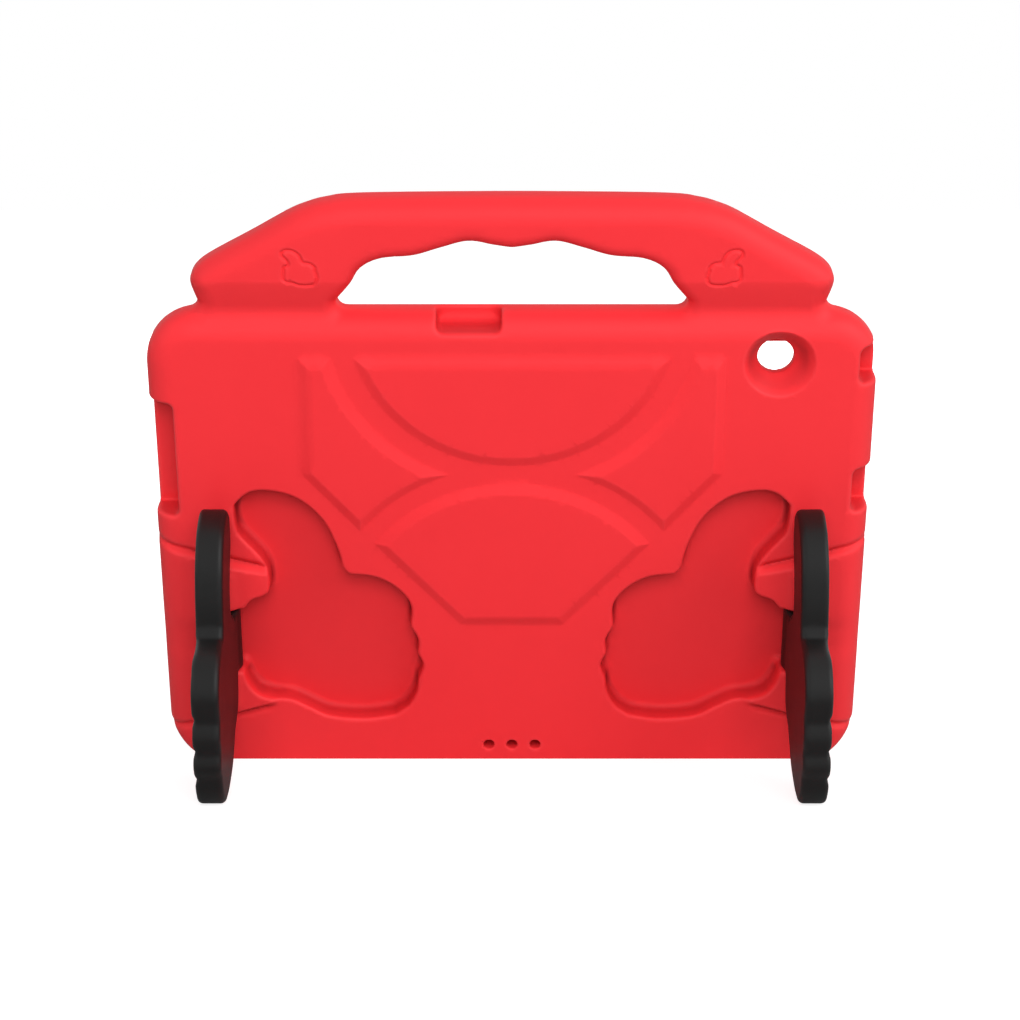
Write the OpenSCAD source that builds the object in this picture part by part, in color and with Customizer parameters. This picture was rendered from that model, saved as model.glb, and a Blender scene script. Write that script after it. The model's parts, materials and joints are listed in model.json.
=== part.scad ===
// Foam tablet case with a carry handle and two fold-out stand legs.
// Every module below models the case lying flat on its screen side: X across, Y up the case
// from its bottom edge, Z out of its back, with the flat of the back at Z = 0. stood() then
// stands the whole case up and leans it back on its open legs, screen towards +Y.

/* [Tablet] */
// Width of the tablet bay
bay_w = 244; // [220:1:270]
// Height of the tablet bay
bay_h = 165; // [150:1:190]
// Depth of the tablet bay
bay_d = 8; // [6:0.5:12]
// How far the screen rim reaches over the tablet
rim_reach = 4; // [2.5:0.5:6]

/* [Foam shell] */
// Foam beside the tablet, left and right
side_wall = 14.5; // [12:0.25:20]
// Foam above and below the tablet
end_wall = 13.5; // [11:0.5:20]
// Foam behind the tablet
back_wall = 11.4; // [11.2:0.2:16]
// Thickness of the screen rim
rim_t = 2.8; // [2:0.2:5]
// Rounding of the back edges
back_round = 9.5; // [6:0.5:10.5]
// Rounding of the screen-side edges
front_round = 10; // [3:0.5:11]
// Rounding of the back's bottom edge, on which the case stands
foot_round = 1.5; // [1:0.25:4]
// Corner radius of the shell, seen from behind
corner_r = 20; // [15:0.5:26]

/* [Raised panels] */
// Height of the raised panels on the back
panel_rise = 1.1; // [0.5:0.1:2]
// Distance of the panels' top edges from the shell's top edge
panel_drop = 15.5; // [12:0.5:24]
// Distance between the centres of the two circles that the bands between the panels follow
arch_apart = 135.6; // [125:0.2:140]
// Radius of the top panel
top_panel_r = 61.4; // [50:0.2:64]
// Radius of the side panels' edges next to the top panel
side_upper_r = 69.2; // [67:0.2:74]
// Radius of the side panels' edges next to the low panel
side_lower_r = 74.2; // [71:0.2:78]
// Radius of the low panel
low_panel_r = 67; // [60:0.2:69]
// Distance of the side panels' outer edges from the middle
side_panel_x = 79.5; // [75:0.5:90]
// Height of the side panels' outer edges
side_panel_h = 48.3; // [35:0.1:55]

/* [Handle] */
// Height of the handle over the shell
handle_h = 44.5; // [40:0.1:60]
// Distance of the handle's shoulders from the side edges
handle_in = 18; // [14:0.5:26]
// Height of the grip opening at its middle
grip_h = 26; // [22:0.5:30]
// Half width of the grip opening
grip_half_w = 65; // [55:1:80]
// Thickness of the handle
handle_t = 20.4; // [16:0.2:22]
// Rounding along the top of the handle
handle_round = 8.5; // [4:0.5:9]

/* [Stand legs] */
// Thickness of a leg
leg_t = 10.4; // [8:0.2:12]
// Depth of the recess that a folded leg lies in
recess_d = 8.6; // [7:0.1:9.2]
// Distance from the hinge axis to the far side of the fingers
leg_reach = 78; // [70:1:84]
// Gap between a folded leg and the wall of its recess
leg_gap = 0.8; // [0.6:0.1:1.2]
// Gap between a folded leg and the floor of its recess
floor_gap = 0.4; // [0.2:0.1:0.8]
// Radius of the leg's hinge barrel
barrel_r = 7.2; // [6.8:0.1:7.4]
// Gap between the two knuckles that hold a leg
knuckle_gap = 28; // [24:1:34]

/* [Hinges] */
// Distance of each hinge axis from the side edge
hinge_in = 23.5; // [21:0.5:26]
// Height of the middle of each hinge above the bottom edge
hinge_y = 56.9; // [52:0.1:60]
// Radius of the hinge pin
pin_r = 2; // [1.5:0.1:2.4]
// Running clearance of the pin in the leg's sleeve
pin_gap = 0.05; // [0.02:0.01:0.1]
// Outer radius of the sleeve and the bushes
sleeve_r = 3.6; // [3.2:0.1:4]
// Depth to which the pin enters each knuckle
pin_seat = 10; // [8:0.5:14]
// Length of each knuckle
knuckle_l = 22; // [18:1:24]
// Radius of each knuckle
knuckle_r = 6.9; // [6:0.1:7.2]
// Length and end radius of the knuckle's taper
knuckle_taper = 7; // [4:0.5:10]
knuckle_tip_r = 2.6; // [1.5:0.1:4]

/* [Openings] */
// Distance of the camera opening from the right-hand edge, seen from behind
camera_in = 37.2; // [24:0.1:50]
// Distance of the camera opening from the top edge
camera_down = 18.3; // [14:0.1:40]
// Radius of the camera opening at the tablet
camera_r = 6.8; // [5:0.1:9]
// Radius of the camera opening at the back
camera_rim_r = 13.2; // [9:0.1:16]
// Depth of the camera opening's cone
camera_cone_d = 8; // [4:0.5:10]
// Height of the sound holes above the bottom edge
sound_y = 7.8; // [6:0.1:9]
// Radius of each sound hole
sound_r = 2.1; // [1.5:0.1:3]
// Spacing of the sound holes
sound_pitch = 9.2; // [7:0.1:14]
// Depth of the button notches in the left, right and top edges
left_notch_d = 9.5; // [6:0.5:11]
right_notch_d = 7.5; // [5:0.5:11]
top_notch_d = 6.5; // [5:0.5:11]
// How far the notches go past the back of the tablet, beside it
notch_reach = 3; // [2:0.25:5]
// Length of the left notch, and its distance from the top edge
left_notch_l = 47; // [20:1:60]
left_notch_top = 34.8; // [24:0.1:60]
// Length of the right upper notch, and its distance from the top edge
upper_notch_l = 14; // [10:0.5:24]
upper_notch_top = 12.8; // [10:0.1:24]
// Length of the right lower notch, and its distance from the top edge
lower_notch_l = 18; // [10:0.5:30]
lower_notch_top = 62.3; // [50:0.1:80]
// Length of the top notch, and the distance of its middle from the middle of the case
top_notch_l = 24; // [14:0.5:40]
top_notch_x = 16; // [12:0.5:40]

/* [Hidden] */
$fn = 64;
cut = 0.5;                                  // overshoot of cutting solids

shell_w = bay_w + 2 * side_wall;
shell_h = bay_h + 2 * end_wall;
shell_t = back_wall + bay_d + rim_t;
half_w = shell_w / 2;
hinge_x = half_w - hinge_in;                // of each hinge axis, from the middle
handle_half_w = half_w - handle_in;         // of the handle at its shoulders
leg_over = 4.2;                             // leg outside its hinge axis when open
leg_under = leg_t - leg_over;               // leg inside its hinge axis when open
barrel_gap = 0.4;                           // between the barrel and its trough
trough_wall = 1.5;                          // least foam between the trough and the tablet
trough_side = 0.6;                          // more room beside the barrel than under it
hinge_z = max(leg_under + floor_gap - recess_d, barrel_r + barrel_gap + trough_wall - back_wall);
flange_t = 0.5;
flange_r = 5;
bush_floor = 1.5;
barrel_half = knuckle_gap / 2 - leg_gap;
sound_wall = 1;                             // from the sound holes to the channel's sides
sound_half = sound_pitch + sound_r + 2 * sound_wall;
rim_round = 6;                              // corner radius of the bay and the screen opening
notch_round = 2.5;                          // inner corner radius of the notches
notch_floor = back_wall + notch_reach;       // depth of the notches below the back
slot_under = 0.5;                           // from the back of the bay to the notches' slots

// Points along an arc, from angle a to angle b
function arc(c, r, a, b, n = 16) =
    [for (i = [0:n]) let (t = a + (b - a) * i / n) c + r * [cos(t), sin(t)]];

// A smooth curve through every point of a list
function bend(p, q, r, s, t) =
    0.5 * (2 * q + (r - p) * t + (2 * p - 5 * q + 4 * r - s) * t * t + (3 * q - p - 3 * r + s) * t * t * t);
function curve(p, n = 6) =
    [for (i = [0:len(p) - 2], k = [0:n - 1])
        bend(p[max(i - 1, 0)], p[i], p[i + 1], p[min(i + 2, len(p) - 1)], k / n)];

// A closed outline, clockwise, moved inwards by d along the normal at each point
function unit(v) = v / norm(v);
function inset(p, d) =
    [for (i = [0:len(p) - 1])
        let (a = unit(p[i] - p[(i + len(p) - 1) % len(p)]), b = unit(p[(i + 1) % len(p)] - p[i]),
             m = unit(a + b), s = d / max(norm(a + b) / 2, 0.5))
        p[i] + s * [m[1], -m[0]]];

// Points of a left half followed by their mirror images
function mirrored(p) = concat(p, [for (i = [len(p) - 1:-1:0]) if (abs(p[i][0]) > 0.01) [-p[i][0], p[i][1]]]);

// Outline of a leg's recess from its hinge axis: a hand with its thumb up. The first number
// is the distance from the axis, the second the height over the middle of the hinge.
reach = leg_reach / 78;
knuckle_side = [[9.5, knuckle_gap / 2], [12.2, knuckle_gap / 2 + 3.6], [16.4, knuckle_gap / 2 + 5],
                [19.2, knuckle_gap / 2 + 7.4], [19.4, 28], [17, 34.8], [11, 42.3], [8, 46.6], [7, 53]];
thumb = [[7, 57.8], [13, 63.2], [21, 63.9], [31, 60.8], [40, 52.3], [45.5, 40.3], [47.8, 29.8]];
first_finger = [[49.8, 28], [60, 26.8], [68.5, 21.8], [73.6, 14.3], [73.2, 5]];
second_finger = [[73.4, 4.6], [76.3, -1.2], [75.7, -7]];
third_finger = [[75.9, -7.4], [78, -12.7], [75.9, -18.6]];
fourth_finger = [[76, -19], [75.2, -24.7], [72, -30.9], [66.5, -35.2]];
palm = [[66.5, -35.2], [55, -36.9], [41, -35.7], [33, -31.7], [26, -28.1], [20, -27.4]];
heel = [[20, -27.4], [13.5, -25], [9.5, -19.5], [8, -knuckle_gap / 2]];
hand = concat(curve(knuckle_side), curve(thumb), curve(first_finger), curve(second_finger, 4),
              curve(third_finger, 4), curve(fourth_finger), curve(palm), curve(heel),
              [[8, -knuckle_gap / 2]]);
trough_x = -barrel_r - barrel_gap - trough_side;
recess_outline = [for (p = concat([[trough_x, -knuckle_gap / 2], [trough_x, knuckle_gap / 2]], hand))
                  [p[0] > 0 ? p[0] * reach : p[0], p[1]]];
leg_outline = inset(recess_outline, leg_gap);

// Lean of the case: it stands on its back's bottom edge and the feet of its open legs. The
// lowest point of that edge's rounding is one of the points that shell_block() has there.
foot_edge = [for (a = [0:15:90]) [back_round * (sin(a) - 1), foot_round * (1 - cos(a))]];
lean = min([for (p = leg_outline) if (p[0] > leg_reach / 4)
            max([for (e = foot_edge) atan2(hinge_y + p[1] - e[1], hinge_z + p[0] - e[0])])]);
// Height of a point of the side view after the lean, and its distance behind the origin
function height(p) = p[1] * cos(lean) - p[0] * sin(lean);
function behind(p) = p[0] * cos(lean) + p[1] * sin(lean);
base_z = min([for (e = foot_edge) height(e)]);
back_y = max([for (p = leg_outline) behind([hinge_z + p[0], hinge_y + p[1]])]);
front_y = max([for (a = [0:22.5:90])
               -behind([front_round * (1 - sin(a)) - shell_t, front_round * (1 - cos(a))])]);

module stood() {
    translate([0, (back_y - front_y) / 2, -base_z]) rotate([90 + lean, 0, 0]) children();
}

// One side of the case: -1 on the left and 1 on the right, seen from behind
module on_side(side) {
    if (side < 0) children();
    else mirror([1, 0, 0]) children();
}

// A rectangle with round corners, standing on Y = 0
function rect_points(w, h, r, n = 8) =
    concat(arc([w / 2 - r, h - r], r, 0, 90, n), arc([r - w / 2, h - r], r, 90, 180, n),
           arc([r - w / 2, r], r, 180, 270, n), arc([w / 2 - r, r], r, 270, 360, n));

module rounded_rect(w, h, r) polygon(rect_points(w, h, r));

// The shell's outline at one level, drawn in by the rounding of its edges
function shell_ring(z, side_in, low_in) =
    [for (p = rect_points(shell_w - 2 * side_in, shell_h - side_in - low_in, corner_r - side_in))
        [p[0], p[1] + low_in, z]];

// The shell's block: rings from the screen side to the back, joined by flat facets
module shell_block() {
    low_rings = [for (a = [90:-22.5:0]) let (inwards = front_round * (1 - cos(a)))
        shell_ring(front_round * (1 - sin(a)) - shell_t, inwards, inwards)];
    high_rings = [for (a = [0:15:90]) let (inwards = 1 - cos(a))
        shell_ring(back_round * (sin(a) - 1), back_round * inwards, foot_round * inwards)];
    rings = concat(low_rings, high_rings);
    n = len(rings[0]);
    sides = [for (k = [0:len(rings) - 2], i = [0:n - 1])
        [k * n + i, (k + 1) * n + i, (k + 1) * n + (i + 1) % n, k * n + (i + 1) % n]];
    polyhedron([for (ring = rings, p = ring) p],
               concat([[for (i = [0:n - 1]) i]], sides, [[for (i = [n - 1:-1:0]) (len(rings) - 1) * n + i]]));
}

// Handle outline over the shell's top edge: the left half, then the whole
handle_left = concat([[2.2 - handle_half_w, -6]],
    curve([[2.2 - handle_half_w, 3.5], [0.2 - handle_half_w, 9.5], [0.2 - handle_half_w, 13.5],
           [2.6 - handle_half_w, 17.4], [8.4 - handle_half_w, 21.6], [23 - handle_half_w, 29.7],
           [36.6 - handle_half_w, handle_h - 7], [43.6 - handle_half_w, handle_h - 4],
           [50.4 - handle_half_w, handle_h - 2.1], [64 - handle_half_w, handle_h - 0.6], [0, handle_h]]));
grip_left = concat([[-grip_half_w, -8], [-grip_half_w, 4.5]],
    curve([[-grip_half_w, 4.5], [5.5 - grip_half_w, 11.6], [9.5 - grip_half_w, 18],
           [17 - grip_half_w, grip_h - 4.2], [-36, grip_h - 3], [-26, grip_h], [-16, grip_h + 2.6],
           [-7, grip_h + 1.1], [0, grip_h]]));

module handle() {
    handle_z = -(shell_t - handle_t) / 2 - handle_t;
    intersection() {
        translate([0, shell_h, handle_z]) linear_extrude(handle_t) difference() {
            polygon(mirrored(handle_left));
            polygon(mirrored(grip_left));
        }
        translate([-half_w, shell_h, 0]) rotate([90, 0, 90]) linear_extrude(shell_w)
            handle_profile(handle_z, handle_z + handle_t);
    }
}

module handle_profile(z_low, z_high) {
    r = min(handle_round, handle_t / 2 - 0.5);
    polygon(concat([[-8, z_low], [handle_h - r, z_low]], arc([handle_h - r, z_low + r], r, -90, 0, 8),
                   arc([handle_h - r, z_high - r], r, 0, 90, 8), [[-8, z_high]]));
}

// The tablet's bay and the screen opening in front of it
module bay() {
    translate([0, end_wall, -back_wall - bay_d]) linear_extrude(bay_d) rounded_rect(bay_w, bay_h, rim_round);
    translate([0, end_wall + rim_reach, -shell_t - cut]) linear_extrude(rim_t + 2 * cut)
        rounded_rect(bay_w - 2 * rim_reach, bay_h - 2 * rim_reach, rim_round);
}

// Raised panels: the bands between them lie on two large circles
arch_top = [0, shell_h + 1.3];
arch_low = [0, arch_top[1] - arch_apart];
panel_top = shell_h - panel_drop;
side_corner_x = side_panel_x - 21.5;        // low corner of a side panel
low_corner_x = low_panel_r - 14;            // side corner of the low panel
low_flat = [20, 5.5];                       // end of its bottom edge, from the lower circle's centre
module top_panel() {
    a = asin((arch_top[1] - panel_top) / top_panel_r);
    polygon(arc(arch_top, top_panel_r, 180 + a, 360 - a, 36));
}

module side_panel() {
    // Where the two circles cross, measured up from the lower centre
    tip_y = (side_lower_r * side_lower_r - side_upper_r * side_upper_r + arch_apart * arch_apart)
        / (2 * arch_apart);
    polygon(concat([[-side_panel_x, panel_top - side_panel_h], [-side_panel_x, panel_top]],
                   arc(arch_top, side_upper_r, 180 + asin((arch_top[1] - panel_top) / side_upper_r),
                       180 + asin((arch_apart - tip_y) / side_upper_r), 20),
                   arc(arch_low, side_lower_r, 181 - asin(tip_y / side_lower_r),
                       180 - acos(side_corner_x / side_lower_r), 20)));
}

module low_panel() {
    a = acos(low_corner_x / low_panel_r);
    bottom = arch_low[1] + low_flat[1];
    polygon(concat(arc(arch_low, low_panel_r, a, 180 - a, 24),
                   [[-low_flat[0], bottom], [low_flat[0], bottom]]));
}

module panels() {
    translate([0, 0, -cut]) linear_extrude(panel_rise + cut) {
        top_panel();
        side_panel();
        mirror([1, 0]) side_panel();
        low_panel();
    }
}

// Places its children on the left hinge axis, in the middle of the hinge, with X towards
// the middle of the case
module at_hinge() translate([-hinge_x, hinge_y, hinge_z]) children();

// A cylinder along the hinge axis, from height a to height b
module axle(a, b, r) translate([0, b, 0]) rotate([90, 0, 0]) cylinder(h = b - a, r = r);

// The upper knuckle: a round bar that tapers at its far end
module knuckle() {
    axle(knuckle_gap / 2, knuckle_gap / 2 + knuckle_l - knuckle_taper, knuckle_r);
    translate([0, knuckle_gap / 2 + knuckle_l - knuckle_taper, 0]) rotate([-90, 0, 0])
        cylinder(h = knuckle_taper, r1 = knuckle_r, r2 = knuckle_tip_r);
}

module knuckles() {
    at_hinge() {
        knuckle();
        mirror([0, 1, 0]) knuckle();
    }
}

module recess() {
    translate([-hinge_x, hinge_y, -recess_d]) linear_extrude(recess_d + knuckle_r + cut)
        polygon(recess_outline);
    at_hinge() axle(-knuckle_gap / 2, knuckle_gap / 2, barrel_r + barrel_gap);
}

// Seats of the two bushes
module bush_seats() {
    at_hinge() {
        seat = knuckle_gap / 2 + pin_seat + bush_floor;
        axle(knuckle_gap / 2 - cut, seat, sleeve_r);
        axle(-seat, cut - knuckle_gap / 2, sleeve_r);
    }
}

module camera_opening() {
    flare = (camera_rim_r - camera_r) / camera_cone_d;
    translate([half_w - camera_in, shell_h - camera_down, 0]) rotate_extrude()
        polygon([[0, -back_wall - cut], [camera_r, -back_wall - cut], [camera_r, -camera_cone_d],
                 [camera_rim_r + 2 * flare, 2], [0, 2]]);
}

module sound_holes() {
    for (i = [-1:1]) translate([i * sound_pitch, sound_y, -back_wall - cut])
        cylinder(h = back_wall + 2 * cut, r = sound_r);
    low_y = sound_y - sound_r - sound_wall;
    translate([-sound_half, low_y, -back_wall - bay_d])
        cube([2 * sound_half, end_wall - low_y + cut, bay_d]);
}

// A notch in an edge, cut down from the back. X runs along the edge from 0 to w, and Y from
// the edge inwards.
module edge_notch(w, depth) {
    r = min(notch_round, depth / 2, w / 3);
    translate([0, 0, -notch_floor]) linear_extrude(notch_floor + 2 * panel_rise)
        polygon(concat([[w, -cut], [0, -cut]], [for (p = arc([r, depth - r], r, 180, 90, 6)) p],
                       [for (p = arc([w - r, depth - r], r, 90, 0, 6)) p]));
}

// A side notch with a slot on to the tablet's edge
module side_notch(w, depth) {
    edge_notch(w, depth);
    translate([2 * notch_round, 0, -notch_floor])
        cube([w - 4 * notch_round, side_wall + cut, notch_reach - slot_under]);
}

module notches() {
    translate([-half_w, shell_h - left_notch_top, 0]) rotate([0, 0, -90])
        side_notch(left_notch_l, left_notch_d);
    translate([half_w, shell_h - upper_notch_top - upper_notch_l, 0]) rotate([0, 0, 90])
        side_notch(upper_notch_l, right_notch_d);
    translate([half_w, shell_h - lower_notch_top - lower_notch_l, 0]) rotate([0, 0, 90])
        side_notch(lower_notch_l, right_notch_d);
    translate([top_notch_l / 2 - top_notch_x, shell_h, 0]) rotate([0, 0, 180])
        edge_notch(top_notch_l, top_notch_d);
}

module shell() {
    color([0.9, 0.16, 0.18]) stood() difference() {
        union() {
            difference() {
                union() {
                    shell_block();
                    panels();
                }
                recess();
                mirror([1, 0, 0]) recess();
                bay();
                camera_opening();
                sound_holes();
                notches();
            }
            handle();
            knuckles();
            mirror([1, 0, 0]) knuckles();
        }
        bush_seats();
        mirror([1, 0, 0]) bush_seats();
    }
}

// A stand leg, open: it points straight out of the back from its hinge
module leg(side) {
    color([0.12, 0.12, 0.12]) stood() on_side(side) at_hinge() difference() {
        union() {
            rotate([0, -90, 0]) translate([0, 0, -leg_under]) linear_extrude(leg_t) difference() {
                polygon(leg_outline);
                translate([-leg_reach, -leg_reach]) square([leg_reach, 2 * leg_reach]);
            }
            axle(-barrel_half, barrel_half, barrel_r);
        }
        axle(-barrel_half - cut, barrel_half + cut, sleeve_r);
    }
}

module leg_sleeve(side) {
    color([0.85, 0.85, 0.82]) stood() on_side(side) at_hinge() difference() {
        axle(-barrel_half, barrel_half, sleeve_r);
        axle(-barrel_half - cut, barrel_half + cut, pin_r + pin_gap);
    }
}

module hinge_pin(side) {
    color([0.7, 0.7, 0.72]) stood() on_side(side) at_hinge()
        axle(-knuckle_gap / 2 - pin_seat, knuckle_gap / 2 + pin_seat, pin_r);
}

// A flanged cup in a knuckle that holds one end of the pin: end is 1 above and -1 below
module bush(side, end) {
    color([0.85, 0.85, 0.82]) stood() on_side(side) at_hinge() mirror([0, end < 0 ? 1 : 0, 0])
        translate([0, knuckle_gap / 2, 0]) difference() {
            union() {
                axle(0, pin_seat + bush_floor, sleeve_r);
                axle(-flange_t, 0, flange_r);
            }
            axle(-flange_t - cut, pin_seat, pin_r);
        }
}

shell();
leg(-1);  // left_leg
leg(1);  // right_leg
hinge_pin(-1);  // left_hinge_pin
hinge_pin(1);  // right_hinge_pin
leg_sleeve(-1);  // left_leg_sleeve
leg_sleeve(1);  // right_leg_sleeve
bush(-1, 1);  // left_upper_bush
bush(-1, -1);  // left_lower_bush
bush(1, 1);  // right_upper_bush
bush(1, -1);  // right_lower_bush
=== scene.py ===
"""Looks of a foam tablet case with a carry handle and two fold-out stand legs.

The foam shell and legs are modelled as fields of distances in the case's own frame, in
millimetres: X across, Y up the case from its bottom edge, Z out of its back. A field is
negative inside the foam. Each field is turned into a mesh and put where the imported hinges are.
"""

import json
import math

import bpy
import numpy as np
import openvdb as vdb
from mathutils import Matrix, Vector


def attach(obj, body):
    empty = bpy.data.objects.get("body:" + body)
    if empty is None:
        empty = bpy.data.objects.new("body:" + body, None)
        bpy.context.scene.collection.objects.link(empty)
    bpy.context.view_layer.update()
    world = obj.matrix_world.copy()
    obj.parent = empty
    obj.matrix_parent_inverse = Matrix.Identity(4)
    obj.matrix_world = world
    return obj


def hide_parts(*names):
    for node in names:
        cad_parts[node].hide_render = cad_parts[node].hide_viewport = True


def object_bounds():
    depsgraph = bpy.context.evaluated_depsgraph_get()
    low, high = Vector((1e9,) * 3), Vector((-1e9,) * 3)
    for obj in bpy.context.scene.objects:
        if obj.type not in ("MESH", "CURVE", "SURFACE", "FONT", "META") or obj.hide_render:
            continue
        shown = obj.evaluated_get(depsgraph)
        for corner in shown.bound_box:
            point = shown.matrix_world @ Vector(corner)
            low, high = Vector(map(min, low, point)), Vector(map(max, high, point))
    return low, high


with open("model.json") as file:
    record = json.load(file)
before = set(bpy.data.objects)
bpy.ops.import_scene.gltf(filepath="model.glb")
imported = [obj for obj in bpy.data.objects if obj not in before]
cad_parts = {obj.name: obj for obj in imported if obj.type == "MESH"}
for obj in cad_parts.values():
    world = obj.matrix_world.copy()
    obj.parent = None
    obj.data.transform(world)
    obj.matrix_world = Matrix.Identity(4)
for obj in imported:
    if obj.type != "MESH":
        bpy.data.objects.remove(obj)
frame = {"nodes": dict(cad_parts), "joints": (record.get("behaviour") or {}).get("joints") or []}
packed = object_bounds()

MM = 0.001

# ---------------------------------------------------------------- driving sizes, in millimetres
shell_w, shell_h, shell_t = 273.0, 192.0, 22.2
half_w = shell_w / 2
corner_r = 20.0
back_round, front_round, foot_round = 9.5, 10.0, 1.5
back_wall, bay_d = 11.4, 8.0
bay_w, bay_h, rim_reach, rim_round = 244.0, 165.0, 4.0, 6.0
side_wall, end_wall = (shell_w - bay_w) / 2, (shell_h - bay_h) / 2
bay_floor, rim_back = -back_wall, -back_wall - bay_d

hinge_in, hinge_y, hinge_z = 23.5, 56.9, -2.0
hinge_x = half_w - hinge_in
recess_d = 8.6
leg_t, leg_over, leg_gap = 10.4, 4.2, 0.8
barrel_r, barrel_gap = 7.2, 0.4
knuckle_half, knuckle_l, knuckle_r, knuckle_tip_r, knuckle_taper = 14.0, 22.0, 6.9, 2.6, 7.0
sleeve_r, pin_seat, bush_floor = 3.6, 10.0, 1.5

handle_h, handle_t, handle_in = 44.5, 20.4, 18.0
handle_half_w = half_w - handle_in
handle_round, grip_round, handle_fillet = 8.5, 5.0, 4.5
neck_h, neck_slope, neck_thinning = 13.7, 14.7, 3.9
grip_h, grip_half_w = 26.0, 65.0

panel_rise, panel_top = 1.5, shell_h - 15.5
panel_half_w, panel_side_h = 79.5, 48.3
arch_high, arch_low = shell_h + 1.3, shell_h + 1.3 - 135.6
arch_high_in, arch_high_out, arch_low_in, arch_low_out = 61.4, 69.2, 67.0, 74.2

camera_hole, camera_r, camera_flare, camera_cone_d = (half_w - 37.2, shell_h - 18.3), 6.8, 6.5, 8.0
sound_y, sound_pitch, sound_r = 7.8, 9.2, 2.1
notch_reach, slot_under, slot_in = 3.0, 0.5, 5.0
left_notch_d, right_notch_d, top_notch_d = 9.5, 7.5, 6.5
left_notch = (shell_h - 81.8, shell_h - 34.8)
right_notches = ((shell_h - 26.8, shell_h - 12.8), (shell_h - 80.3, shell_h - 62.3))
top_notch = (-28.0, -4.0)

margin = 3.0    # room round a piece in its block of points
shell_mesh, leg_mesh = ((0.5, 0.4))

# ---------------------------------------------------------------- the case's frame in the world
fold = {joint["name"]: joint for joint in frame["joints"]}["right_stand_fold"]
up = -Vector(fold["axis"]).normalized()
across = Vector((1, 0, 0))
out = across.cross(up)
origin = Vector(fold["pos_m"]) - (across * hinge_x + up * hinge_y + out * hinge_z) * MM


def place(x, y, z):
    """The world point of a point of the case."""
    return origin + (across * x + up * y + out * z) * MM


# ---------------------------------------------------------------- camera
view_distance, view_angle = 980.0, math.radians(27.08)
view_lens = 90.8
view_centre = shell_h / 2 + 17.2
view_side = -0.76

camera_data = bpy.data.cameras.new("view")
camera_data.sensor_width, camera_data.lens = 36.0, view_lens
camera_data.clip_start, camera_data.clip_end = 0.05, 20
camera = bpy.data.objects.new("view", camera_data)
bpy.context.scene.collection.objects.link(camera)
bpy.context.scene.camera = camera
camera.location = place(view_side, view_centre + view_distance * math.sin(view_angle),
                        view_distance * math.cos(view_angle))
camera.rotation_mode = "QUATERNION"
camera.rotation_quaternion = (place(view_side, view_centre, 0) - camera.location).to_track_quat("-Z", "Y")


# ---------------------------------------------------------------- fields
def meet(a, b, r=0.0):
    """What is inside both fields, with the edge between them rounded to r."""
    sharp = np.maximum(a, b)
    if np.isscalar(r) and r == 0:
        return sharp
    return np.minimum(sharp, -r) + np.hypot(np.maximum(a + r, 0), np.maximum(b + r, 0))


def join(a, b, r=0.0):
    """What is inside either field, with a fillet of radius r."""
    return -meet(-a, -b, r)


def cut(a, b, r=0.0):
    """What is inside a and outside b, with the edge rounded to r."""
    return meet(a, -b, r)


def curve(points, steps=6):
    """A smooth line through every point of a list, without its last one."""
    p = [np.array(q, float) for q in points]
    line = []
    for i in range(len(p) - 1):
        a, b, c, d = p[max(i - 1, 0)], p[i], p[i + 1], p[min(i + 2, len(p) - 1)]
        for k in range(steps):
            t = k / steps
            line.append(0.5 * (2 * b + (c - a) * t + (2 * a - 5 * b + 4 * c - d) * t * t
                               + (3 * b - a - 3 * c + d) * t ** 3))
    return line


def outline_field(points, px, py):
    """Distance to a closed outline in the plane, negative inside."""
    ring = np.asarray(points, np.float32)
    nearest = np.full(np.broadcast(px, py).shape, 1e9, np.float32)
    inside = np.zeros(nearest.shape, bool)
    for (ax, ay), (bx, by) in zip(ring, np.roll(ring, -1, 0)):
        ex, ey = bx - ax, by - ay
        along = np.clip(((px - ax) * ex + (py - ay) * ey) / max(ex * ex + ey * ey, 1e-9), 0, 1)
        nearest = np.minimum(nearest, (px - ax - ex * along) ** 2 + (py - ay - ey * along) ** 2)
        if ay != by:
            inside ^= ((ay > py) != (by > py)) & (px < ax + (py - ay) * ex / ey)
    return np.where(inside, -1, 1).astype(np.float32) * np.sqrt(nearest)


def rounded_field(px, py, half_width, low, high, r):
    """Distance to a rectangle with round corners between two heights, centred on X = 0."""
    qx = np.abs(px) - half_width + r
    qy = np.abs(py - (low + high) / 2) - (high - low) / 2 + r
    return np.minimum(np.maximum(qx, qy), 0) + np.hypot(np.maximum(qx, 0), np.maximum(qy, 0)) - r


def line_field(px, py, a, b):
    """Distance to the left of the line from a to b."""
    (ax, ay), (bx, by) = a, b
    length = math.hypot(bx - ax, by - ay)
    return ((by - ay) * (px - ax) - (bx - ax) * (py - ay)) / -length


def least(*values):
    """The smallest of several values, point by point."""
    lowest = values[0]
    for value in values[1:]:
        lowest = np.minimum(lowest, value)
    return lowest


def soft_step(v):
    v = np.clip(v, 0, 1)
    return v * v * (3 - 2 * v)


def soften(flat, width):
    """A flat field with its corners rounded, by a blur of some points' width."""
    reach = int(3 * width) + 1
    bell = np.exp(-0.5 * (np.arange(-reach, reach + 1) / width) ** 2)
    bell /= bell.sum()
    for axis in (0, 1):
        flat = np.apply_along_axis(
            lambda row: np.convolve(np.pad(row, reach, mode="edge"), bell, mode="valid"), axis, flat)
    return flat.astype(np.float32)


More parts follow.
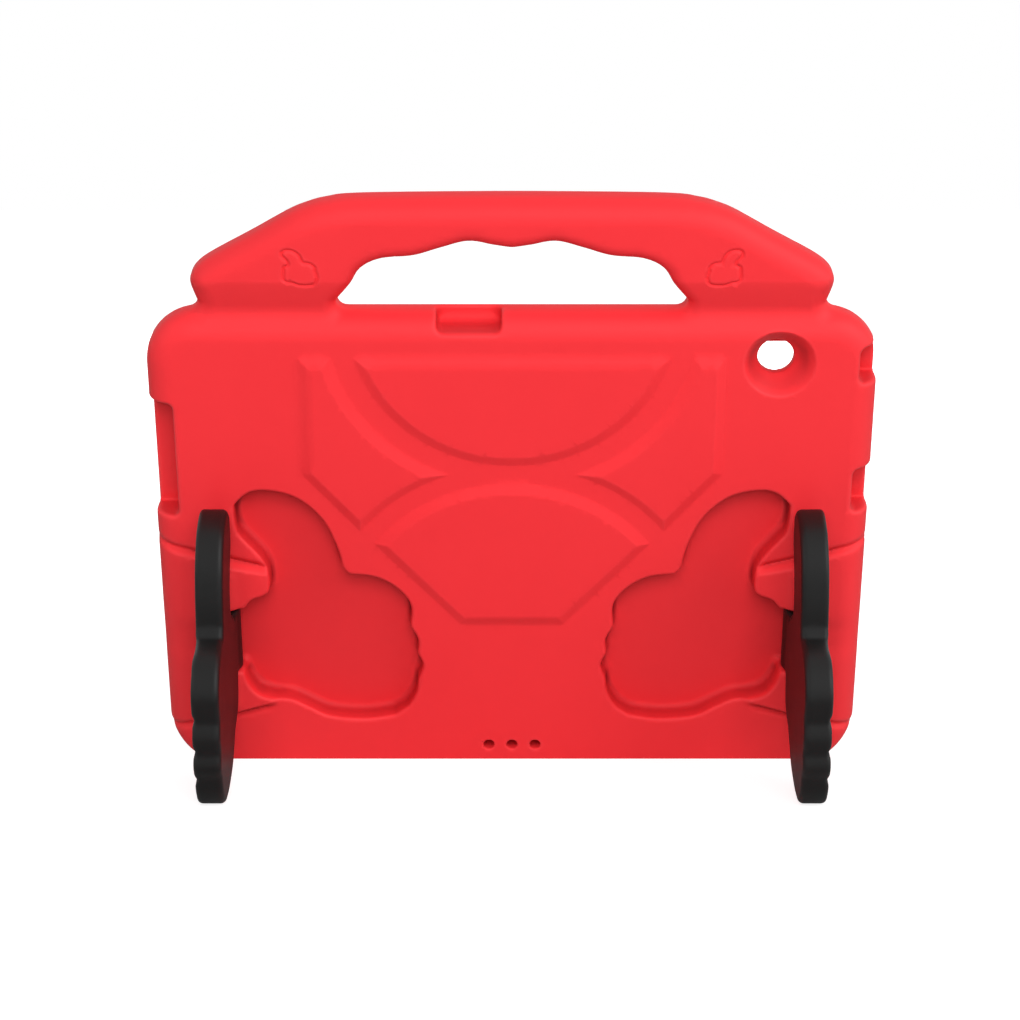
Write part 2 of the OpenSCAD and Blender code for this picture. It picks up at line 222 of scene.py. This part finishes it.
class Block:
    """Evenly spaced points of the case between two corners."""

    def __init__(self, low, high, step):
        self.low, self.step = np.array(low, np.float32), step
        axes = [np.arange(int((b - a) / step) + 1, dtype=np.float32) * step + a for a, b in zip(low, high)]
        self.x, self.y, self.z = axes[0][:, None, None], axes[1][None, :, None], axes[2][None, None, :]

    def read(self, field, points):
        """The field at any points, blended between its nearest eight values."""
        q = (points - self.low) / self.step
        base = np.clip(q.astype(int), 0, np.array(field.shape) - 2)
        f = (q - base).astype(np.float32)
        total = 0
        for corner in range(8):
            i, j, k = corner & 1, corner >> 1 & 1, corner >> 2
            share = ((f[:, 0] if i else 1 - f[:, 0])
                     * (f[:, 1] if j else 1 - f[:, 1])
                     * (f[:, 2] if k else 1 - f[:, 2]))
            total = total + share * field[base[:, 0] + i, base[:, 1] + j, base[:, 2] + k]
        return total


def bend(block, field, points, width):
    """How sharply a surface bends: above 0 on ridges and below 0 in hollows."""
    here = block.read(field, points)
    return sum(block.read(field, points + s) + block.read(field, points - s) - 2 * here
               for s in np.eye(3, dtype=np.float32) * width)


def skin(name, block, field, mirror=False):
    """The mesh where a field is zero, shaded by the field itself, with marks on its points that paint shade
    in openings and hollows.
    """
    reach = 4.0
    field = np.clip(field, -reach, reach).astype(np.float32)
    grid = vdb.FloatGrid(reach)
    grid.copyFromArray(field)
    grid.transform = vdb.createLinearTransform(block.step)
    points, triangles, quads = grid.convertToPolygons(isovalue=0.0, adaptivity=0.02)
    points = points + block.low

    def slope(width):
        parts = []
        for axis in range(3):
            offset = np.zeros(3, np.float32)
            offset[axis] = width
            parts.append(block.read(field, points + offset) - block.read(field, points - offset))
        return np.stack(parts, 1)

    normals = slope(0.6 * block.step)
    normals /= np.maximum(np.linalg.norm(normals, axis=1, keepdims=True), 1e-9)
    fine_bend, wide_bend = 1.2, 3.4
    ridge = bend(block, field, points, fine_bend) / fine_bend ** 2
    # How far a point lies down in an opening of the back, or behind the back's face beside the handle: a mask
    # of painted shade for the recesses, the camera opening, the notches and the handle's neck
    side, facing_out = rounded_field(points[:, 0], points[:, 1], half_w, 0, shell_h, corner_r), normals[:, 2]
    under = -meet(side, points[:, 2], back_round) / 2.5 * np.clip((points[:, 2] + 16) / 2, 0, 1)
    neck = (-points[:, 2] - 0.4) / 3 * np.clip((facing_out - 0.35) / 0.4, 0, 1)
    painted_recess_shade = np.clip(np.where(side < 0, under * np.clip(5 * facing_out + 1, 0, 1), neck), 0, 1)
    inner = np.clip((-side - 10) / 4, 0, 1)
    # Steep walls inside the openings get extra painted shade
    wall = painted_recess_shade * np.clip(1.1 - facing_out, 0, 1) * np.clip(-side, 0, 1)
    # Painted shade in wide hollows, such as the foot of a recess wall, with less of it on faces turned up the
    # case, where the light falls
    wide = bend(block, field, points, wide_bend) / wide_bend
    wide = np.clip(-1.5 * wide, 0, 1) * painted_recess_shade * inner * (1 - 0.7 * np.clip(3 * normals[:, 1], 0, 1))
    if mirror:
        points[:, 0] *= -1
        normals[:, 0] *= -1
    axes = np.array([across, up, out])
    world = np.array(origin) + points @ axes * MM
    world = np.clip(world, np.array(packed[0]), np.array(packed[1]))
    faces = [f[::-1] if mirror else f for f in triangles.tolist() + quads.tolist()]
    # The first faces tell which way round they all run
    a, b, c = (points[[f[i] for f in faces[:200]]] for i in range(3))
    facing = np.einsum("ij,ij->i", np.cross(b - a, c - a), normals[[f[0] for f in faces[:200]]])
    if np.median(facing) < 0:
        faces = [f[::-1] for f in faces]
    mesh = bpy.data.meshes.new(name)
    mesh.from_pydata(world.tolist(), [], faces)
    # Marks kept on the points: how the surface bends, painted shade in openings and on their walls, and
    # painted shade in wide hollows
    for mark, values in (("ridge", ridge), ("painted_recess_shade", painted_recess_shade + 2 * wall), ("painted_hollow_shade", wide)):
        mesh.attributes.new(mark, "FLOAT", "POINT").data.foreach_set("value", values.astype(np.float32))
    mesh.polygons.foreach_set("use_smooth", np.ones(len(mesh.polygons), bool))
    mesh.normals_split_custom_set_from_vertices((normals @ axes).tolist())
    piece = bpy.data.objects.new(name, mesh)
    bpy.context.scene.collection.objects.link(piece)
    print(name, len(mesh.polygons), "faces")
    return piece


# ---------------------------------------------------------------- outlines
# A leg's recess, from its hinge axis towards the middle and up from the middle of the hinge
knuckle_side = [(9.5, 14), (12.2, 17.6), (16.4, 19), (19.2, 21.4), (19.4, 28), (17, 34.8), (11, 42.3),
                (8, 46.6), (7, 53)]
thumb = [(7, 57.8), (13, 63.2), (21, 63.9), (31, 60.8), (40, 52.3), (45.5, 40.3), (47.8, 29.8)]
fingers = [[(49.8, 28), (60, 26.8), (68.5, 21.8), (73.6, 14.3), (73.2, 5)],
           [(73.4, 4.6), (76.3, -1.2), (75.7, -7)],
           [(75.9, -7.4), (78, -12.7), (75.9, -18.6)],
           [(76, -19), (75.2, -24.7), (72, -30.9), (66.5, -35.2)]]
palm = [(66.5, -35.2), (55, -36.9), (41, -35.7), (33, -31.7), (26, -28.1), (20, -27.4)]
heel = [(20, -27.4), (13.5, -25), (9.5, -19.5), (8, -14)]
trough_side = -barrel_r - barrel_gap - 0.6
hand = curve(knuckle_side) + curve(thumb) + [p for f in fingers for p in curve(f)] + curve(palm) + curve(heel)
recess_outline = [(trough_side, -knuckle_half), (trough_side, knuckle_half)] + hand + [(8, -knuckle_half)]

left_end, grip_end = -handle_half_w, -grip_half_w
handle_left = [(left_end + 2.2, -6)] + curve(
    [(left_end + 2.2, 3.5), (left_end + 0.2, 9.5), (left_end + 0.2, 13.5), (left_end + 2.6, 17.4),
     (left_end + 8.4, 21.6), (left_end + 23, 29.7), (left_end + 36.6, handle_h - 7),
     (left_end + 43.6, handle_h - 4), (left_end + 50.4, handle_h - 2.1),
     (left_end + 64, handle_h - 0.6), (0, handle_h)])
grip_left = [(grip_end, -8)] + curve(
    [(grip_end, 4.5), (grip_end + 5.5, 11.6), (grip_end + 9.5, 18), (grip_end + 17, grip_h - 4.2),
     (-36, grip_h - 3), (-26, grip_h), (-16, grip_h + 2.6), (-7, grip_h + 1.1), (0, grip_h)])


def both_sides(left):
    """The left half of an outline followed by its mirror image."""
    return [tuple(p) for p in left] + [(-p[0], p[1]) for p in reversed(left) if abs(p[0]) > 0.01]


# ---------------------------------------------------------------- shell
def panel_field(px, py):
    """Height of the raised panels over the back, with a flat slope along every edge."""
    x = np.abs(px)
    slope, arch_slope, low_slope, top_slope = 3.6, 4.5, 3.3, 4.0
    high, low = np.hypot(x, py - arch_high), np.hypot(x, py - arch_low)
    top = (panel_top - py) / top_slope
    middle = np.minimum((arch_high_in - high) / 3.8, top)
    corner = (58.0, arch_low + math.sqrt(arch_low_out ** 2 - 58.0 ** 2))
    side = least((high - arch_high_out) / arch_slope, (low - arch_low_out) / low_slope, top,
                 (panel_half_w - x) / slope,
                 line_field(x, py, corner, (panel_half_w, panel_top - panel_side_h)) / slope)
    foot = arch_low + 5.5
    tip = (53.0, arch_low + math.sqrt(arch_low_in ** 2 - 53.0 ** 2))
    lower = least((arch_low_in - low) / arch_slope, (py - foot) / slope,
                  line_field(x, py, (20.0, foot), tip) / slope)
    share = np.clip(-least(-middle, -side, -lower), 0, 1)
    return panel_rise * share


def shell_field(block):
    x, y, z = block.x, block.y, block.z
    px, py = x[:, :, 0], y[:, :, 0]
    side = rounded_field(px, py, half_w, 0, shell_h, corner_r)
    # The back's edge is rounded widely at the sides and top, and tightly along the bottom
    down = np.clip(-np.gradient(side, block.step, axis=1), 0, 1) ** 2
    edge_r = (back_round + (foot_round - back_round) * down).astype(np.float32)[:, :, None]
    rise = panel_field(px, py)

    r, t = hinge_x - px, py - hinge_y
    # A low mound round each knuckle, behind a groove that runs in from the side edge
    beyond = np.abs(t) - 40.3 + 0.257 * (r + 18)
    mound = np.interp(r, (-24, -10, 2, 18.5, 22), (0.2, 1.0, 3.2, 1.5, 0.0))
    mound = mound * np.clip(-beyond / 2.6, 0, 1) * soft_step((np.abs(t) - 3) / 8)
    groove = 1.5 * np.exp(-(beyond / 1.5) ** 2) * soft_step((20 - r) / 5)
    rise = np.maximum(rise, mound) - groove
    side3 = side[:, :, None]
    body = meet(side3, z - rise[:, :, None], edge_r)
    body = meet(body, -z - shell_t, front_round)

    # Leg recesses
    hand_d = soften(outline_field(recess_outline, r, t), 0.7 / block.step)[:, :, None]
    r3, t3 = r[:, :, None], t[:, :, None]
    pocket = meet(hand_d + 0.25 - 0.05 * (z + recess_d), -recess_d - z, 2.4)
    body = cut(body, pocket, 1.2)
    axis_d = np.hypot(r3, z - hinge_z)
    trough = meet(axis_d - barrel_r - barrel_gap, np.abs(t3) - knuckle_half, 0.6)
    body = cut(body, trough, 0.5)

    # Knuckles, on a low mound that slopes to the recess
    far = np.abs(t3) - (knuckle_half + knuckle_l - knuckle_taper)
    bar_r = knuckle_r - np.clip(far / knuckle_taper, 0, 1.2) * (knuckle_r - knuckle_tip_r)
    bar = meet(axis_d - bar_r, np.abs(t3) - knuckle_half - knuckle_l, 1.0)
    bar = cut(bar, np.abs(t3) - knuckle_half, 0.8)
    body = join(body, meet(bar, -z - 6, 0.5), 2.0)
    seat = meet(axis_d - sleeve_r, np.abs(t3) - knuckle_half - pin_seat - bush_floor)
    body = cut(body, seat, 0.2)

    # Handle, thinner in the neck where it leaves the shell's top edge
    over = py - shell_h
    grip_d = outline_field(both_sides(grip_left), px, over)[:, :, None]
    loop_d = outline_field(both_sides(handle_left), px, over)[:, :, None]
    neck = np.clip((neck_h - over) / neck_slope, 0, 1)
    half_t = (handle_t / 2 - neck_thinning * neck)[:, :, None]
    slab = np.abs(z + shell_t / 2) - half_t
    loop = meet(loop_d, slab, np.minimum(handle_round, half_t - 0.3))
    loop = cut(loop, grip_d, grip_round)
    loop = meet(loop, (-over - 8)[:, :, None])
    body = join(body, loop, handle_fillet)

    # Tablet bay and screen opening
    bay = meet(rounded_field(px, py, bay_w / 2, end_wall, shell_h - end_wall, rim_round)[:, :, None],
               np.abs(z - (bay_floor + rim_back) / 2) - bay_d / 2, 0.6)
    screen = rounded_field(px, py, bay_w / 2 - rim_reach, end_wall + rim_reach,
                           shell_h - end_wall - rim_reach, rim_round)[:, :, None]
    screen = meet(screen, z - rim_back - 1)
    body = cut(body, join(bay, screen), 0.8)
    return body


def local(block, body, low, high):
    """The part of a block between two corners, as slices and its own points."""
    span = tuple(slice(max(0, int((a - l) / block.step)), max(0, int((b - l) / block.step)) + 1)
                 for a, b, l in zip(low, high, block.low))
    return span, block.x[span[0]], block.y[:, span[1]], block.z[:, :, span[2]]


def add_openings(block, body):
    """Cuts what is on one side only: camera opening, sound holes and edge notches."""
    cx, cy = camera_hole
    span, x, y, z = local(block, body, (cx - 20, cy - 20, -14), (cx + 20, cy + 20, 8))
    shift = 0.9    # the hole sits this far off the middle of its cone
    inner = np.hypot(x - cx + shift, y - cy) - camera_r
    flare = np.clip((z + camera_cone_d) / camera_cone_d, 0, 1.2)
    cone = np.hypot(x - cx + shift * (1 - flare), y - cy) - camera_r - camera_flare * flare
    body[span] = cut(body[span], meet(cone * 0.78, -camera_cone_d - z, 0.6), 0.2)
    body[span] = cut(body[span], inner, 0.4)

    for i in (-1, 0, 1):
        sx = i * sound_pitch
        span, x, y, z = local(block, body, (sx - 5, sound_y - 5, -13), (sx + 5, sound_y + 5, 3))
        body[span] = cut(body[span], np.hypot(x - sx, y - sound_y) - sound_r, 0.5)
    low = sound_y - sound_r - 1
    span, x, y, z = local(block, body, (-16, low - 3, -21), (16, end_wall + 3, -9))
    channel = meet(np.abs(x) - sound_pitch - sound_r - 2,
                   meet(low - y, np.abs(z - (bay_floor + rim_back) / 2) - bay_d / 2))
    body[span] = cut(body[span], channel, 0.4)

    def notch(ends_at, depth, wall, edge):
        """A round-cornered notch in an edge, and for a side edge the slot from it to the tablet."""
        low_a, high_a = ends_at
        beside, front, back = 6, -24, 6
        if edge == "top":
            span, x, y, z = local(block, body, (low_a - beside, shell_h - wall - margin, front),
                                  (high_a + beside, shell_h + margin, back))
            along, inward = x, shell_h - y
        else:
            side = -1 if edge == "left" else 1
            a, b = sorted((side * (half_w - wall - margin), side * (half_w + margin)))
            span, x, y, z = local(block, body, (a, low_a - beside, front), (b, high_a + beside, back))
            along, inward = y, half_w - side * x
        ends = np.abs(along - (low_a + high_a) / 2) - (high_a - low_a) / 2
        floor_fillet = 4.0 if edge == "top" else 1.0
        dip = meet(meet(ends, inward - depth, 2.6), bay_floor - notch_reach - z, floor_fillet)
        body[span] = cut(body[span], dip, 1.4)
        if edge != "top":
            under = np.abs(z - bay_floor + (notch_reach + slot_under) / 2) - (notch_reach - slot_under) / 2
            body[span] = cut(body[span], meet(ends + slot_in, meet(inward - wall - 1, under)), 0.4)

    notch(left_notch, left_notch_d, side_wall, "left")
    for ends_at in right_notches:
        notch(ends_at, right_notch_d, side_wall, "right")
    notch(top_notch, top_notch_d, end_wall, "top")
    return body


def add_motif(block, body):
    """A small outline of the leg's own hand shape, pressed into each end of the handle."""
    wide, tall, mx, my, around, line_w, line_d = 0.178, 0.138, 77.5, shell_h + 19.5, 12, 0.5, 0.75
    span, x, y, z = local(block, body, (-mx - around, my - around, -3), (mx + around, my + around, 1))
    small = [((p[0] - 42) * wide, (p[1] - 14) * tall) for p in hand]
    line = np.abs(outline_field(small, mx - np.abs(x[:, :, 0]), y[:, :, 0] - my))
    body[span] = body[span] + line_d * np.clip(1.4 - line / line_w, 0, 1)[:, :, None]
    return body


front_z, back_z = -24.5, 7.5
top_y = shell_h + handle_h + margin
half = Block((0, -margin, front_z), (half_w + margin, top_y, back_z), shell_mesh)
body = shell_field(half)
reach_x = (half.x.size - 1) * shell_mesh
whole = Block((-reach_x, -margin, front_z), (reach_x + 0.01, top_y, back_z), shell_mesh)
body = np.concatenate([body[:0:-1], body])
body = add_openings(whole, body)
body = add_motif(whole, body)
shell = skin("foam_shell", whole, body)
del body


# ---------------------------------------------------------------- legs
def leg_field(block):
    """The right leg, open: it stands out of the back from its hinge."""
    x, r, t = block.x - hinge_x, block.z - hinge_z, block.y - hinge_y
    shape = soften(outline_field(recess_outline, r[0], t[0]), 0.7 / block.step)[None] + leg_gap
    plate = np.maximum(x - leg_over, -(x + leg_t - leg_over))
    # Grooves between the fingers, over the outer face
    groove_w, groove_d, fingertips = 1.7, 0.8, 74
    for height, tilt, inner in ((28, 0.10, 44), (5, 0.03, 50), (-7, 0.0, 52), (-19, -0.03, 52)):
        away = t - height - tilt * (r - fingertips)
        ditch = np.exp(-(away / groove_w) ** 2) * soft_step((r - inner) / 12)
        plate = plate + groove_d * ditch * soft_step((x - 1.0) / 2.0)
    outer_edge, inner_edge = 1.6, 2.3
    edge = np.where(x > leg_over - leg_t / 2, outer_edge, inner_edge)
    plate = meet(meet(shape, -r, 1.0), plate, edge)
    barrel = meet(np.hypot(x, r) - barrel_r, np.abs(t) - knuckle_half + leg_gap, 0.8)
    solid = join(plate, barrel, 1.5)
    # Room beside the knuckles
    solid = cut(solid, meet(r - 8.6, knuckle_half - leg_gap - np.abs(t)))
    return cut(solid, np.hypot(x, r) - sleeve_r)


around_barrel = 9.5
leg_block = Block((hinge_x - around_barrel, hinge_y - 39.5, hinge_z - around_barrel),
                  (hinge_x + around_barrel, hinge_y + 66, hinge_z + 79.5), leg_mesh)
solid = leg_field(leg_block)
right_leg = skin("foam_leg_right", leg_block, solid)
left_leg = skin("foam_leg_left", leg_block, solid, mirror=True)


# ---------------------------------------------------------------- materials
class Wire:
    """A shader value that takes part in Python arithmetic."""

    def __init__(self, shader, socket):
        self.shader, self.socket = shader, socket

    def _do(self, operation, *values):
        return self.shader.node("Math", {"operation": operation}, *values)

    def __add__(self, other): return self._do("ADD", self, other)
    def __radd__(self, other): return self._do("ADD", other, self)
    def __sub__(self, other): return self._do("SUBTRACT", self, other)
    def __rsub__(self, other): return self._do("SUBTRACT", other, self)
    def __mul__(self, other): return self._do("MULTIPLY", self, other)
    def __rmul__(self, other): return self._do("MULTIPLY", other, self)
    def __truediv__(self, other): return self._do("DIVIDE", self, other)

    def clip(self):
        return self.shader.node("Clamp", {}, self)


class Shader:
    """A material's nodes."""

    def __init__(self, name):
        self.material = bpy.data.materials.new(name)
        self.material.use_nodes = True
        self.tree = self.material.node_tree
        self.surface = self.tree.nodes["Principled BSDF"]

    def put(self, socket, value):
        if isinstance(value, Wire):
            self.tree.links.new(value.socket, socket)
        else:
            socket.default_value = value

    def node(self, kind, settings, *values, output=0, **named):
        made = self.tree.nodes.new("ShaderNode" + kind)
        for key, setting in settings.items():
            setattr(made, key, setting)
        for i, value in enumerate(values):
            self.put(made.inputs[i], value)
        for key, value in named.items():
            self.put(made.inputs[key.replace("_", " ")], value)
        return Wire(self, made.outputs[output])

    def mix(self, share, a, b, how="MIX"):
        """A blend of two colours."""
        made = self.tree.nodes.new("ShaderNodeMix")
        made.data_type, made.blend_type = "RGBA", how
        for i, value in ((0, share), (6, a), (7, b)):
            self.put(made.inputs[i], value)
        return Wire(self, made.outputs[2])

    def finish(self, **values):
        for key, value in values.items():
            self.put(self.surface.inputs[key.replace("_", " ")], value)
        return self.material


def foam(name, colour, darker_tone_and_shade, wear_and_highlight_colour, painted_shade_colour, rough, gloss):
    """Moulded foam with a closed skin: fine pebbles and faint mottling; convex edges lighter in patches, as
    worn spots with a painted highlight; creases darker, as dust with painted shade; painted shade in openings
    and wide hollows.
    """
    s = Shader(name)
    where = s.node("TexCoord", {}, output=3)
    # Marks from the mesh: how the surface bends, painted shade in openings, and painted shade in wide hollows
    ridge, painted_recess_shade, wide = (s.node("Attribute", {"attribute_name": mark}, output=2)
                         for mark in ("ridge", "painted_recess_shade", "painted_hollow_shade"))
    mottle = s.node("TexNoise", {}, Vector=where, Scale=26.0, Detail=4.0, Roughness=0.6)
    cloud = s.node("TexNoise", {}, Vector=where, Scale=7.0, Detail=2.0)
    pebble = s.node("TexVoronoi", {"feature": "SMOOTH_F1"}, Vector=where, Scale=1500.0, Smoothness=0.6)
    grain = s.node("TexNoise", {}, Vector=where, Scale=2600.0, Detail=3.0, Roughness=0.7)
    pits = (s.node("TexVoronoi", {"feature": "F1"}, Vector=where, Scale=420.0) * -9.0 + 1.0).clip()
    # Convex edges: worn and given a painted highlight; creases: dust and painted shade
    edge_wear_and_highlight = (ridge * 0.9 - 0.10).clip() * (mottle * 2.4 - 0.6).clip()
    crease_dust_and_shade = (ridge * -1.1 - 0.05).clip()
    tone = ((mottle - 0.5) * 0.7 + (cloud - 0.5) * 0.6 + 0.5).clip()
    base = s.mix(tone, darker_tone_and_shade, colour)
    # Lighter convex edges as wear and painted highlight, then darker creases as dust and painted shade
    base = s.mix(edge_wear_and_highlight * 0.35, base, wear_and_highlight_colour)
    base = s.mix(crease_dust_and_shade * 0.25, base, darker_tone_and_shade)
    # Painted shade in openings, on their walls and in wide hollows
    base = s.mix((painted_recess_shade * 0.12 + wide * 0.80).clip(), base, painted_shade_colour)
    height = pebble * 0.55 + grain * 0.45 - pits * 0.5
    bump = s.node("Bump", {}, Strength=0.12, Distance=0.0002, Height=height)
    roughness = (rough + (mottle - 0.5) * 0.12 + (grain - 0.5) * 0.08 - edge_wear_and_highlight * 0.08).clip()
    return s.finish(Base_Color=base, Roughness=roughness, Normal=bump, IOR=gloss, Specular_IOR_Level=0.5)


def metal(name):
    """Bright drawn steel wire: fine lines along its length."""
    s = Shader(name)
    where = s.node("TexCoord", {}, output=3)
    stretched = s.node("Mapping", {}, Vector=where, Scale=(3000.0, 3000.0, 40.0),
                       Rotation=(math.atan2(-up.y, up.z), 0.0, 0.0))
    lines = s.node("TexNoise", {}, Vector=stretched, Scale=1.0, Detail=3.0)
    stain = s.node("TexNoise", {}, Vector=where, Scale=160.0, Detail=3.0)
    base = s.mix((stain * 1.6 - 0.4).clip(), (0.42, 0.42, 0.43, 1), (0.62, 0.62, 0.64, 1))
    bump = s.node("Bump", {}, Strength=0.2, Distance=0.00005, Height=lines)
    return s.finish(Base_Color=base, Metallic=1.0, Roughness=0.22 + lines * 0.2, Normal=bump)


def nylon(name):
    """Matt moulded nylon, slightly cloudy."""
    s = Shader(name)
    where = s.node("TexCoord", {}, output=3)
    cloud = s.node("TexNoise", {}, Vector=where, Scale=240.0, Detail=3.0)
    grain = s.node("TexNoise", {}, Vector=where, Scale=3200.0, Detail=2.0)
    base = s.mix(cloud, (0.66, 0.65, 0.60, 1), (0.80, 0.79, 0.75, 1))
    bump = s.node("Bump", {}, Strength=0.15, Distance=0.0001, Height=grain)
    return s.finish(Base_Color=base, Roughness=0.42 + grain * 0.2, Normal=bump, Subsurface_Weight=0.1)


# Each foam's colours: its own, a darker tone for mottling and for painted shade with dust in creases, a
# lighter one for worn edges and painted highlight, and a colour of painted shade for openings and hollows
red_foam = foam("red_foam", (0.93, 0.033, 0.042, 1), (0.88, 0.027, 0.035, 1), (0.98, 0.08, 0.09, 1),
                (0.30, 0.008, 0.012, 1), 0.55, 1.40)
black_foam = foam("black_foam", (0.007, 0.007, 0.007, 1), (0.004, 0.004, 0.004, 1), (0.022, 0.022, 0.022, 1),
                  (0.004, 0.004, 0.004, 1), 0.46, 1.38)
steel, white_nylon = metal("drawn_steel"), nylon("moulded_nylon")

for piece, body_name, node, slot, material in (
        (shell, "case", "shell", "red_foam", red_foam),
        (left_leg, "left_stand", "left_leg", "black_foam", black_foam),
        (right_leg, "right_stand", "right_leg", "black_foam", black_foam)):
    piece.data.materials.append(material)
    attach(piece, body_name)
    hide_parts(node)

for name, node in frame["nodes"].items():
    finish = steel if name.endswith("_pin") else white_nylon
    if name.endswith(("_pin", "_sleeve", "_bush")):
        node.data.materials.clear()
        node.data.materials.append(finish)


# ---------------------------------------------------------------- floor, world and lights
floor_mesh = bpy.data.meshes.new("floor")
reach = 6.0
floor_mesh.from_pydata([(-reach, -reach, 0), (reach, -reach, 0), (reach, reach, 0), (-reach, reach, 0)], [],
                       [(0, 1, 2, 3)])
floor = bpy.data.objects.new("floor", floor_mesh)
floor.location.z = packed[0].z
bpy.context.scene.collection.objects.link(floor)
ground = Shader("pale_floor")
seen = ground.node("LightPath", {}, output=0)
floor_place = ground.node("TexCoord", {}, output=3)
from_middle = ground.node("VectorMath", {"operation": "LENGTH"}, floor_place, output=1)
near_end, far_start = 0.16, 0.30
far = ((from_middle - near_end) / (far_start - near_end)).clip()
ground_glow = ground.mix(far, (0.80, 0.80, 0.80, 1), (1.0, 1.0, 1.0, 1))
floor.data.materials.append(ground.finish(
    Base_Color=(0.50, 0.50, 0.50, 1), Roughness=0.9, Specular_IOR_Level=0.1, Emission_Strength=1.0,
    Emission_Color=ground.mix(seen, (0.0, 0.0, 0.0, 1), ground_glow)))

world = bpy.data.worlds.new("studio")
bpy.context.scene.world = world
world.use_nodes = True
tree = world.node_tree
path = tree.nodes.new("ShaderNodeLightPath")
blend = tree.nodes.new("ShaderNodeMix")
blend.data_type = "RGBA"
blend.inputs[7].default_value = (1.0, 1.0, 1.0, 1)
tree.links.new(path.outputs["Is Camera Ray"], blend.inputs[0])
sheen = tree.nodes.new("ShaderNodeMix")
sheen.data_type = "RGBA"
sheen.inputs[6].default_value = (0.20, 0.20, 0.20, 1)
sheen.inputs[7].default_value = (0.75, 0.75, 0.75, 1)
tree.links.new(path.outputs["Is Glossy Ray"], sheen.inputs[0])
tree.links.new(sheen.outputs[2], blend.inputs[6])
tree.links.new(blend.outputs[2], tree.nodes["Background"].inputs["Color"])
tree.nodes["Background"].inputs["Strength"].default_value = 1.0


def lamp(name, turn, rise, power, size=1.2, away=2.0, gloss=True):
    """A soft square light, turned to the right of the back and raised, in degrees."""
    data = bpy.data.lights.new(name, "AREA")
    data.shape, data.size, data.energy = "SQUARE", size, power
    made = bpy.data.objects.new(name, data)
    bpy.context.scene.collection.objects.link(made)
    turn, rise = math.radians(turn), math.radians(rise)
    towards = Vector((math.sin(turn) * math.cos(rise), -math.cos(turn) * math.cos(rise), math.sin(rise)))
    made.location = (packed[0] + packed[1]) / 2 + towards * away
    made.rotation_mode = "QUATERNION"
    made.rotation_quaternion = (-towards).to_track_quat("-Z", "Y")
    made.visible_glossy = gloss


lamp("front", 2, 22, 31.5, gloss=False)
lamp("right", 54, 30, 12.0)
lamp("left", -62, 24, 3.0)
lamp("edge", 88, 5, 5.0)
lamp("behind", 176, 10, 24.0, gloss=False)

bpy.context.scene.view_settings.view_transform = "Standard"
